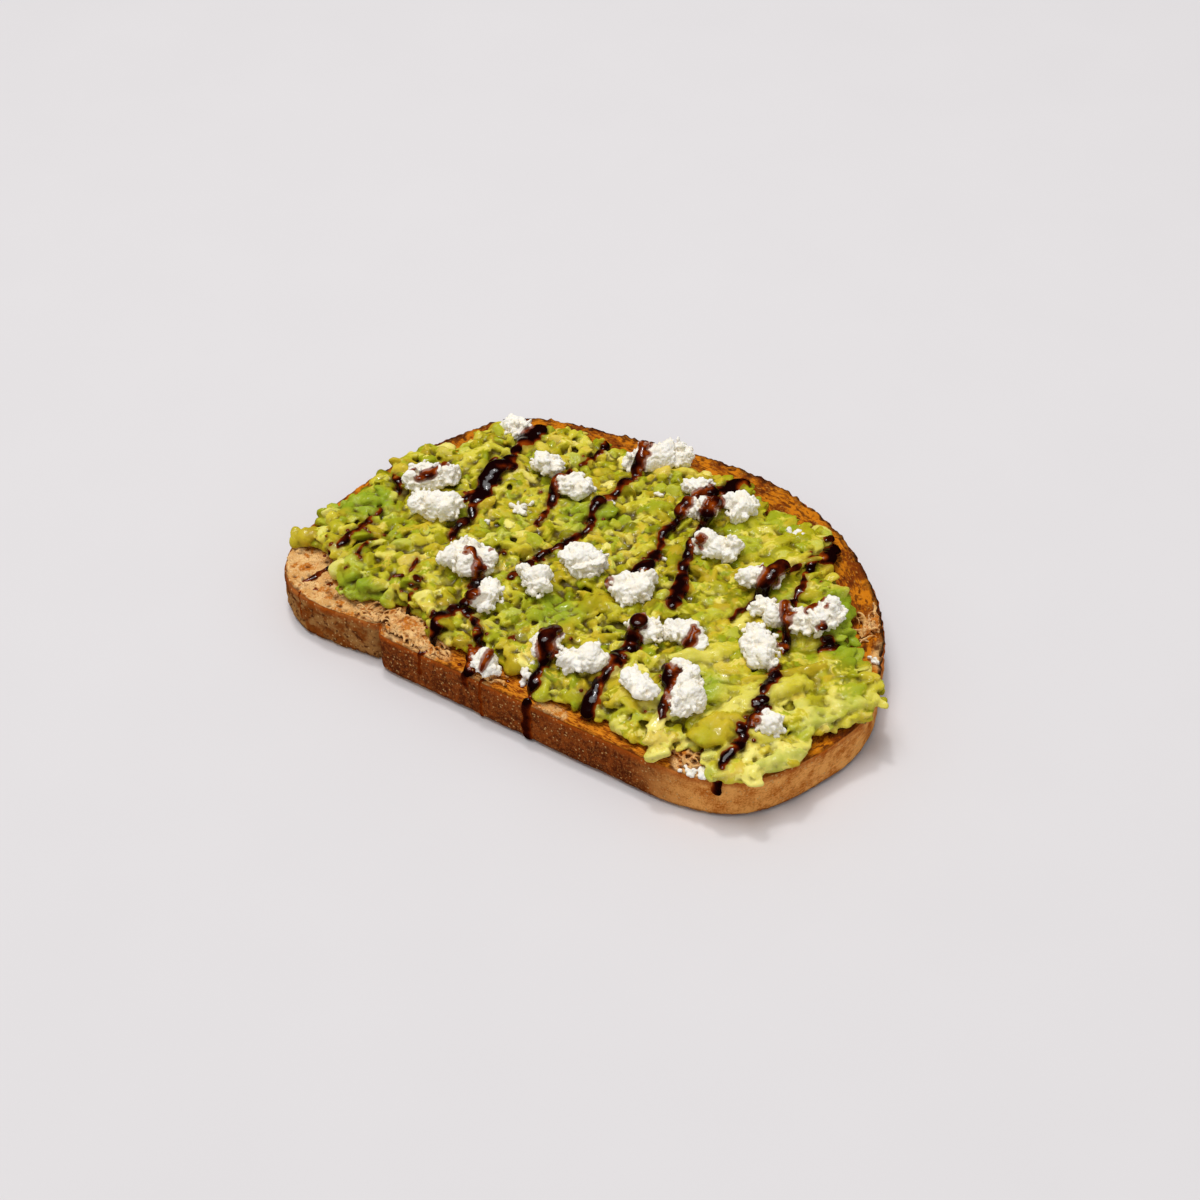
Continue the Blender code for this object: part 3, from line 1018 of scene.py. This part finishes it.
# The three hollow measures marked here are read as painted shade in the finish: deep hollows, creases and
# low places are darkened there.
mark(mash.data, "deep", deep * (1 - 0.35 * drag))
mark(mash.data, "crease", hollows(mash.data, 4) * (1 - 0.3 * drag))
mark(mash.data, "low", hollows(mash.data, 60))
green = 0.5 + 0.5 * rough(skin, 15, 23) + 0.3 * rough(skin, 6, 24)
GREEN_PATCHES = (
    (-55, -50, 9), (66, 14, 10), (72, 3, 8), (-16, 9, 7), (-2, -26, 7), (49, -33, 9), (-74, -20, 8),
)
for x, y, size in GREEN_PATCHES:
    green += 0.9 * np.exp(-((skin[:, 0] - x) ** 2 + (skin[:, 1] - y) ** 2) / size ** 2)
mark(mash.data, "green", green)
print("hollows in mm:", np.percentile(deep, (2, 50, 98)).round(2))

# %% [markdown]
# The colour is a ramp from olive through yellow to cream, read by each chunk's tint and by painted
# shade and light over broad areas. Over it comes one layer for each thing that changes it: ochre
# and green patches, painted shade in low places, creases and deep hollows, painted pale
# highlights, and stains from the glaze.

# %% Avocado finish
flesh = Finish("smashed_avocado")
tint = flesh.marked("tint") + flesh.grain(4, 3) * 0.5 - 0.25
hue = flesh.marked("hue") + flesh.grain(5, 3) * 0.6 - 0.3
colour = tint.ramp(
    (0.02, (0.21, 0.19, 0.001)), (0.34, (0.42, 0.38, 0.003)),
    (0.62, (0.69, 0.60, 0.038)), (0.98, (0.95, 0.84, 0.22)),
)
# Painted highlight: pale flecks, strongest on the lighter tints.
painted_pale_highlight = flesh.grain(0.9, 3, 0.7).rise(0.54, 0.72) * tint.rise(0.3, 0.7)
for other, share in (
    ((0.66, 0.44, 0.020), (1 - hue).rise(0.58, 0.95) * 0.60),
    ((0.30, 0.40, 0.010), hue.rise(0.58, 0.95) * 0.55),
    ((0.28, 0.40, 0.015), flesh.marked("green").rise(0.55, 1.30) * 0.80),
    # Painted shade: low places, creases and deep hollows are darkened.
    ((0.22, 0.21, 0.003), flesh.marked("low").rise(0.1, 1.4) * 0.65),
    ((0.16, 0.11, 0.001), flesh.marked("crease").rise(0.02, 0.20) * 0.45),
    ((0.07, 0.038, 0.001), flesh.marked("deep").rise(0.05, 0.60) * 0.90),
    ((0.94, 0.86, 0.40), painted_pale_highlight * 0.35),
    ((0.11, 0.030, 0.005), flesh.marked("stain") * 0.6),
):
    colour = flesh.mix(colour, other, share)
film = flesh.grain(1.6, 3)
flesh.set(
    Base_Color=colour,
    Roughness=0.26 + film * 0.26,
    Normal=flesh.bump(flesh.grain(0.7, 3, 0.6) + flesh.grain(0.3, 2) * 0.4, 0.14),
    Coat_Weight=film.rise(0.48, 0.60) * 0.45,
    Coat_Roughness=0.10,
    Specular_IOR_Level=0.15,
    Subsurface_Weight=0.18,
    Subsurface_Radius=(1.0, 0.8, 0.25),
    Subsurface_Scale=0.0012,
)
dressed(mash, flesh, "smashed_avocado", "avocado_mash")
print("nodes in the avocado's finish:", len(flesh.tree.nodes))

# %% [markdown]
# ## The crumbled cheese
#
# Brined white cheese breaks along its curds: a crumble is a handful of curds of 2 to 4 mm that
# still hold together, with crumbs a millimetre across clinging to the breaks. Each one is
# built that way round the place of its CAD solid: curds first, then grains on the curds.

# %% One crumble from curds and grains
def crumble_heap(draw, middle, size, turn, curds, grains):
    """Curds strung along a crumble's length with grains stuck on, as a heap."""
    heap = Heap()
    half = np.array(size) / 2
    spots = []
    for k in range(curds):
        along = (k + 0.5) / curds * 2 - 1
        spot = np.array((along * 0.68, draw.uniform(-0.45, 0.45), draw.uniform(-0.30, 0.34))) * half
        scale = half.min() * draw.uniform(0.65, 1.15) * (1 - 0.20 * abs(along))
        curd = chunk(draw, 3, planes=8, nearest=0.42, sharp=18) * scale * draw.uniform(0.75, 1.35, 3)
        curd = turned(curd, *draw.uniform(0, 360, 3)) + spot
        heap.add(turned(curd, turn) + middle, BALLS[3][1])
        spots.append((spot, scale))
    for _ in range(grains):
        spot, scale = spots[draw.integers(curds)]
        away = draw.normal(size=3) * (1, 1, 0.6)
        away[2] -= 0.15
        away /= np.linalg.norm(away)
        grain = chunk(draw, 2, planes=7, nearest=0.40, sharp=16)
        grain = grain * draw.uniform(0.45, 0.95) * draw.uniform(0.7, 1.4, 3)
        place = spot + away * scale * draw.uniform(0.78, 1.14)
        heap.add(turned(grain + place, turn) + middle, BALLS[2][1])
    return heap


def crumbly(piece):
    """Roughens a fused crumble with ridges and notches, and marks its hollows."""
    points = points_of(piece.data)
    grains = np.abs(rough(points, 1.3, 41)) * 1.6 - 0.35
    relief = 0.38 * grains + 0.18 * rough(points, 0.7, 42)
    move_points(piece.data, points + normals_of(piece.data) * relief[:, None])
    mark(piece.data, "deep", hollows(piece.data, 8))


# %% [markdown]
# ### Cheese finish
#
# White, but warm. Light goes deep and comes out slightly yellow in the cracks, and that is painted
# there as yellowish shade. The surface is dull and chalky, with a grain too fine to model, so that
# is bump.

# %% Cheese finish
curd = Finish("white_cheese")
painted_crack_shade = curd.marked("deep").rise(0.02, 0.38)
white = curd.mix((0.99, 0.95, 0.86), (0.97, 0.90, 0.76), curd.grain(2.5, 3).rise(0.40, 0.65))
# Painted shade: the hollows of each crumble are tinted yellowish.
white = curd.mix(white, (0.82, 0.68, 0.44), painted_crack_shade * 0.5)
white = curd.mix(white, (0.26, 0.055, 0.014), curd.marked("stain").rise(0.15, 0.8) * 0.85)
curd.set(
    Base_Color=white,
    Roughness=0.55 + curd.grain(1.5, 2) * 0.2,
    Normal=curd.bump(curd.grain(0.45, 3, 0.65), 0.20),
    Specular_IOR_Level=0.2,
    Subsurface_Weight=0.15,
    Subsurface_Radius=(1.0, 0.85, 0.6),
    Subsurface_Scale=0.0012,
)
print("nodes in the cheese's finish:", len(curd.tree.nodes))

# %% [markdown]
# Each crumble takes its place, size and turn from its solid: the long way round is the main axis of
# the solid's points seen from above. Larger ones get more curds and more grains, and the draw
# is seeded by the crumble's number, so that a change to one leaves the others as they are.

# %% All the crumbles
cheese = []
for name in sorted(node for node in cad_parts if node.startswith("cheese_crumble")):
    solid = points_of(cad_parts[name].data)
    middle = (solid.min(0) + solid.max(0)) / 2
    spread = np.cov((solid - solid.mean(0))[:, :2].T)
    main = np.linalg.eigh(spread)[1][:, 1]
    turn = math.degrees(math.atan2(main[1], main[0]))
    flat = turned(solid - middle, -turn)
    size = flat.max(0) - flat.min(0) + (0, 0, 1.0)
    draw = np.random.default_rng(int(name[-2:]) + 300)
    plan_area = size[0] * size[1]
    curds, grains = int(round(3 + plan_area / 22)), int(plan_area * 1.4) + 24
    lumps = crumble_heap(draw, middle + (0, 0, 0.5), size, turn, curds, grains)
    piece = fused(f"crumbled_{name}", *lumps.joined(), voxel=0.29, softening=0)
    crumbly(piece)
    cheese.append((piece, name))

# %% [markdown]
# Between the crumbles lie crumbs too small to be pieces of their own. They are all of one kind, so
# they are one mesh: a few grains each, dropped on to the mash.

# %% Loose crumbs
CRUMBS = (
    (-14, 17, 5), (38, 34, 4.5), (39, -23, 6), (28, -38, 5), (2, -51, 6), (57, -55, 6.5), (78, 5, 3),
    (-33, 1, 6), (-46, 9, 2), (-38, -8, 2.2), (49, -6, 2.5), (31, -30, 2.2), (-3, 27, 2.4), (12, 5, 2.2),
)
food_below = looking_down("bread_slice", "avocado_mash")
draw = np.random.default_rng(77)
crumbs = Heap()
for x, y, size in CRUMBS:
    for _ in range(int(size * 2.2)):
        spot = np.array((x, y)) + draw.normal(0, size * 0.24, 2)
        grain = chunk(draw, 2) * draw.uniform(0.5, 0.5 + size * 0.12) * draw.uniform(0.8, 1.2, 3)
        level = height_at(food_below, *spot)
        if level is None or level < THICKNESS - 1:
            continue
        crumbs.add(grain + (*spot, level + draw.uniform(0.2, 0.9)), BALLS[2][1])
crumb_piece = fused("cheese_crumbs", *crumbs.joined(), voxel=0.28, softening=0)
crumbly(crumb_piece)
cheese.append((crumb_piece, None))

# %% [markdown]
# ## The glaze
#
# A thick dark syrup, poured from a height in lines across the slice. It falls on the highest bits,
# bridges small gaps, and gathers into beads where it runs down. Each line is a route given in
# plan, dropped on to the finished surface, and beads of uneven size are strung along it and
# fused. Where it's thin the syrup lets light through and turns reddish brown, so its
# thickness is measured from the mesh and the material reads it.

# %% Routes in plan
LINES = (
    (3.0, (-50, 39), (-47, 22), (-47, 6), (-43, -23)),
    (1.5, (-52, 15), (-49, 2), (-50, -6)),
    (1.8, (-28, 40), (-28, 27)),
    (1.9, (-15, 48), (-14, 30), (-15, 12)),
    (1.8, (-30, 22), (-26, -4)),
    (1.8, (-17, 13), (-12, 2), (-18, -14), (-19, -25)),
    (2.6, (14, 49), (7, 21), (10, 0), (6, -13)),
    (2.6, (13, 46), (17, 13), (24, -11)),
    (3.2, (48, 37), (49, 31)),
    (2.2, (46, 23), (42, 5), (37, -14)),
    (2.0, (49, 27), (50, 10), (57, -10)),
    (1.5, (61, 13), (58, 2)),
    (2.0, (61, -16), (61, -28)),
    (2.2, (63, -31), (62, -40), (64, -53)),
    (1.9, (35, -18), (36, -24)),
    (2.6, (37, -33), (43, -47)),
    (2.8, (21, -20), (21, -39), (23, -52)),
    (2.6, (4, -38), (8, -57)),
    (2.2, (-31, -25), (-24, -36), (-26, -44), (-28, -55)),
    (1.6, (-19, -42), (-15, -48)),
    (2.0, (-14, -48), (-13, -57)),
    (1.2, (-8, -50), (-8, -57)),
    (1.8, (-72, -6), (-66, -12)),
    (1.6, (-61, 6), (-60, -2), (-63, -9)),
    (1.6, (-67, -19), (-67, -40)),
    (1.6, (-61, -32), (-61, -46)),
    (1.6, (-39, -41), (-40, -51)),
    (1.5, (-47, -33), (-45, -39)),
    (1.8, (-26, -20), (-26, -24)),
    (1.1, (-73, -51), (-70, -46), (-69, -40)),
    (1.3, (-74, -49), (-70, -54)),
)
POOLS = (
    (67, 0, 5), (63, -31, 5), (-22, -41, 4.5), (48, 38, 4), (-48, 12, 3), (9, 2, 2.5), (-40, -40, 3.5),
    (-67, -52, 1.5), (-65, -48, 2), (-44, -55, 2.5), (23, -53, 2.5), (-29, -48, 2.5), (-7, -43, 2),
    (-27, -18, 3), (-19, -18, 4.5), (23, -35, 3), (-47, -41, 2.5), (20, 11, 2.5), (-28, 38, 3),
)
print("lines:", len(LINES), "pools:", len(POOLS))

# %% [markdown]
# To lie on the food a line has to know how high the food is, so rays are cast down on to all the
# finished meshes. The beads are flat, as a drop of syrup is that has settled, and they are
# wide and narrow in turn along the line. Where one would be thinner than a thread it is left
# out, so that the line breaks into pieces.

# %% Stringing beads along a route
SPACING = 0.35
THREAD = 0.45
surface = []
for piece, _ in cheese + [(mash, None), (toast, None)]:
    graph = bpy.context.evaluated_depsgraph_get()
    surface.append(BVHTree.FromObject(piece, graph))
print("pieces for the glaze to fall on:", len(surface))


def drop(x, y):
    """The height of the topmost food at a place, in millimetres."""
    start, way = Vector((x * MM, y * MM, 0.1)), Vector((0, 0, -1))
    hits = [tree.ray_cast(start, way)[0] for tree in surface]
    return max([hit.z for hit in hits if hit is not None], default=0.0) / MM


def smooth_route(corners, spacing):
    """Evenly spaced places on a smooth curve through the corners."""
    corners = np.array(corners, float)
    padded = np.vstack([2 * corners[0] - corners[1], corners, 2 * corners[-1] - corners[-2]])
    places = []
    for a, b, c, d in zip(padded, padded[1:], padded[2:], padded[3:]):
        count = max(2, int(np.linalg.norm(c - b) / spacing))
        for t in np.arange(count) / count:
            places.append(0.5 * (2 * b + (c - a) * t + (2 * a - 5 * b + 4 * c - d) * t ** 2
                                 + (3 * b - a - 3 * c + d) * t ** 3))
    return np.array(places + [corners[-1]])


def spaced(route, spacing):
    """The same route again in 3-D, with no step longer than the spacing."""
    lengths = np.append(0, np.cumsum(np.linalg.norm(np.diff(route, axis=0), axis=1)))
    steps = np.arange(0, lengths[-1], spacing)
    return np.stack([np.interp(steps, lengths, route[:, k]) for k in range(3)], 1)


def string_beads(heap, route, width, draw):
    """Flat beads along a route in 3-D, swelling and thinning, and parted where finest."""
    seed = draw.uniform(0, 100)
    for k, place in enumerate(route):
        swell = noise.noise((k * 0.045, seed, 0)) + 0.5 * noise.noise((k * 0.12, seed, 5))
        taper = min(1, (k + 5) / 11, (len(route) - k + 4) / 10)
        radius = width / 2 * min(1.48 + 1.6 * swell, 2.1) * taper
        if radius < THREAD:
            continue
        heap.add(BALLS[2][0] * (radius, radius, radius * 0.34 + 0.16) + place, BALLS[2][1])
        if draw.uniform() < 0.14:
            x, y = place[:2] + draw.normal(0, 0.5, 2) * radius
            level, small = drop(x, y), radius * draw.uniform(0.5, 0.8)
            if abs(level - place[2]) < 1.5:
                heap.add(BALLS[2][0] * (small, small, small * 0.3 + 0.14) + (x, y, level), BALLS[2][1])


# %% [markdown]
# A poured line wobbles, slowly with the hand and quickly with the syrup. So each route is moved
# sideways by noise of two sizes before it is dropped on to the food. Its heights are smoothed,
# since thick syrup spans a narrow gap. Small drops fall beside it, and pools lie where it gathered.

# %% Lines on the toast
def level_line(values, reach):
    """A running mean over that many places to either side."""
    padded = np.pad(values, reach, "edge")
    return sum(padded[k:k + len(values)] for k in range(2 * reach + 1)) / (2 * reach + 1)


BEADS_IN_POOL = 26
draw = np.random.default_rng(5)
syrup = Heap()
for number, (width, *corners) in enumerate(LINES):
    plan = smooth_route(corners, SPACING)
    wander, jitter = (
        np.array([[noise.noise((k * step, number * 3.7, c)) for c in (1.5, 8.5)] for k in range(len(plan))])
        for step in (0.05, 0.16)
    )
    plan = plan + wander * 1.9 + jitter * 0.8
    heights = np.array([drop(x, y) for x, y in plan])
    on_top = heights > THICKNESS - 2
    plan, heights = plan[on_top], heights[on_top]
    heights = 0.4 * heights + 0.6 * level_line(heights, 5) + 0.04 * width
    route = spaced(np.column_stack([plan, heights]), SPACING)
    string_beads(syrup, route, width, draw)
    for x, y, _ in route:
        if draw.uniform() < 0.07:
            spot = np.array((x, y)) + draw.normal(0, 2.0, 2)
            radius, level = draw.uniform(0.4, 0.85), drop(*spot)
            if level > THICKNESS - 1:
                syrup.add(BALLS[2][0] * (radius, radius, radius * 0.6) + (*spot, level), BALLS[2][1])
for x, y, size in POOLS:
    for _ in range(BEADS_IN_POOL):
        spot = np.array((x, y)) + draw.normal(0, size * 0.2, 2)
        radius, level = draw.uniform(0.5, 1.0) * size * 0.33, drop(*spot) + 0.15
        if level > THICKNESS - 1:
            syrup.add(BALLS[2][0] * (radius, radius, radius * 0.4) + (*spot, level), BALLS[2][1])
print("beads on top:", len(syrup.points))

# %% [markdown]
# Some of it ran over the front edge and down the crust. Those drips cling to the side, so they are
# dropped sideways on to it instead, from the front, down to a little round foot.

# %% Drips down the crust
DRIPS = ((-70, 1.4, 4), (-28, 2.2, 6), (-13, 3.2, 10), (-8, 2.0, 1), (7, 4.4, 1.5), (63, 4.2, 10))


def cling(x, z):
    """Where the front crust is at a height, in millimetres."""
    start, way = Vector((x * MM, -0.2, z * MM)), Vector((0, 1, 0))
    hit = surface[-1].ray_cast(start, way)[0]
    return hit.y / MM if hit is not None else low[1]


for x, width, foot in DRIPS:
    levels = np.arange(THICKNESS - 0.3, foot, -0.3)
    sway = np.array([0.7 * noise.noise((z * 0.3, x, 2)) for z in levels])
    route = np.array([(x + s, cling(x + s, z), z) for s, z in zip(sway, levels)])
    for k, place in enumerate(route):
        radius = width / 2 * (0.72 + 0.35 * noise.noise((k * 0.15, x, 0)))
        if k > len(route) - 4:
            radius *= 1.2
        syrup.add(BALLS[2][0] * (radius, radius * 0.36, radius) + place, BALLS[2][1])
glaze = fused("dark_glaze_lines", *syrup.joined(), voxel=0.26, softening=9, most=145000)

# %% [markdown]
# ### Glaze finish
#
# Near black where it is thick, red brown where it thins out at the edges and over the cheese, and
# as smooth as glass. The thickness at each point is its distance to the food below it.

# %% Thickness, and stains where it soaks in
def nearest(trees, places, far, missing):
    """The distance from each place to the nearest of the trees, or missing beyond far."""
    return np.array([
        min(tree.find_nearest(place, far)[3] or missing for tree in trees) for place in places
    ])


layer = [vert.co for vert in glaze.data.vertices]
over_cheese = nearest(surface[:-2], layer, 0.004, 1)
thick = nearest(surface, layer, 1.0, 0.01)
on_cheese = 1 - eased(over_cheese - thick, 0.0, 0.0006)
mark(glaze.data, "thick", thick / MM * (1 - 0.42 * on_cheese))
print("glaze thickness in mm, middle and greatest:", (np.percentile(thick, (50, 100)) / MM).round(2))
glaze_tree = BVHTree.FromObject(glaze, bpy.context.evaluated_depsgraph_get())
for piece, name in cheese + [(mash, None)]:
    gaps = [glaze_tree.find_nearest(vert.co, 0.003)[3] for vert in piece.data.vertices]
    near = np.array([0.003 if gap is None else gap for gap in gaps]) / MM
    mark(piece.data, "stain", 1 - eased(near, 0.15, 1.1))
for piece, name in cheese:
    dressed(piece, curd, "white_cheese", *([name] if name else []))

# %% [markdown]
# The colour is read by thickness. Light isn't traced through the syrup, since a colour by thickness
# gives the same look in less time, and also lasts when the colours are baked on to a mesh.

# %% Glaze finish
dark = Finish("dark_glaze")
depth = dark.marked("thick") + dark.grain(1.5, 2) * 0.3 - 0.15
syrup_colour = depth.ramp(
    (0.03, (0.34, 0.062, 0.003)), (0.25, (0.15, 0.018, 0.001)), (0.50, (0.040, 0.004, 0.001)),
    (0.80, (0.007, 0.001, 0.001)),
)
dark.set(
    Base_Color=syrup_colour,
    Roughness=0.07 + dark.grain(3, 2) * 0.06,
    Normal=dark.bump(dark.grain(1.2, 2), 0.06),
    Specular_IOR_Level=0.28,
)
dressed(glaze, dark, "dark_glaze")
print("nodes in the glaze's finish:", len(dark.tree.nodes))

# %% [markdown]
# ## The floor
#
# A pale matt surface under the slice, large enough to fill the view. It isn't part of the food, so
# it is left out of the model. It is hidden from reflections, like the world.

# %% Floor
REACH, LEVEL = 2500, -0.2
corners = ((-REACH, -REACH), (REACH, -REACH), (REACH, REACH), (-REACH, REACH))
floor_points = np.array([(x, y, LEVEL) for x, y in corners])
ground = mesh_object("floor", floor_points, np.array([[0, 1, 2, 3]]))
pale_floor = Finish("pale_floor")
tone = pale_floor.mix((0.709, 0.689, 0.700), (0.729, 0.709, 0.720), pale_floor.grain(40, 2))
pale_floor.set(Base_Color=tone, Roughness=0.8)
ground.data.materials.append(pale_floor.material)
ground.visible_glossy = False
print("floor reaches", REACH, "mm each way")
